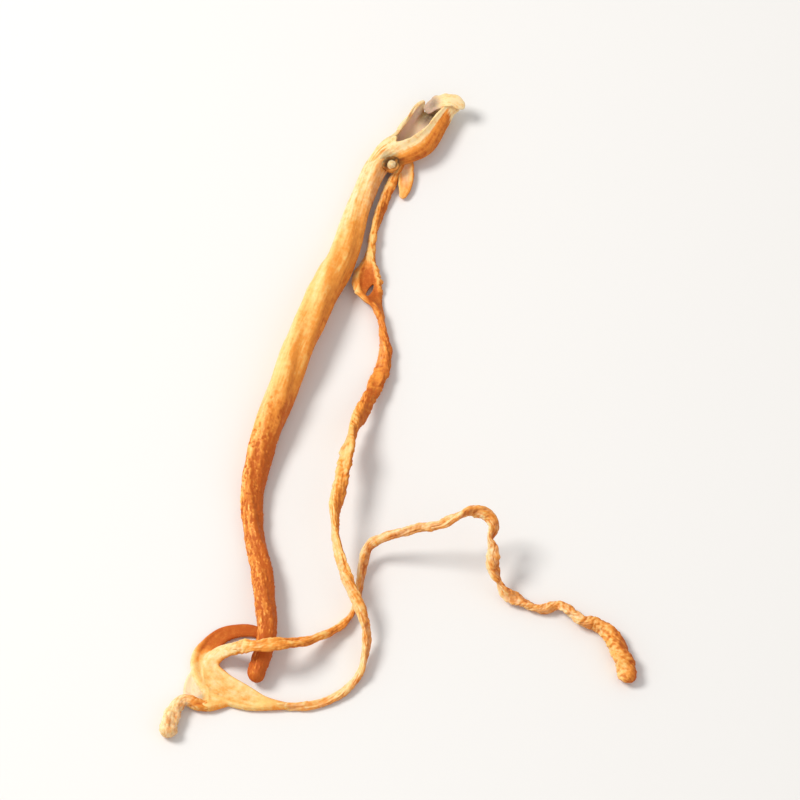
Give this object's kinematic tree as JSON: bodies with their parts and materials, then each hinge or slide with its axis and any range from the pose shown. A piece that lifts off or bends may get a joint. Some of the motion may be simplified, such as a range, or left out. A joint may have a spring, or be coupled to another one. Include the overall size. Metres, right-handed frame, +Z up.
{
  "type": "dried cordyceps",
  "caption": "Small dried tuft of orange club fungus: a thick club stalk and thin twisted stalks from one pale hollow cut base, lying flat.",
  "frame": {"origin": "middle of the footprint, on the surface that the tuft lies on", "axes": "+Z up from the surface, +Y along the tuft towards its cut base, +X towards the tip of the curly stalk"},
  "size_m": [0.0484, 0.0742, 0.0064],
  "materials": {
    "thick_stalk": "dry, matt, finely wrinkled",
    "thin_stalk": "dry, matt, twisted and wrinkled",
    "club_tip": "dry, matt, grainy",
    "flat_fork": "dry, matt, papery",
    "cut_base": "dry, matt, fibrous and torn"
  },
  "bodies": {
    "root": {"thick_stalk": "thick_stalk", "side_stalk": "thin_stalk", "curly_stalk": "thin_stalk", "short_club": "club_tip", "flat_fork": "flat_fork", "cut_base": "cut_base"}
  },
  "joints": []
}
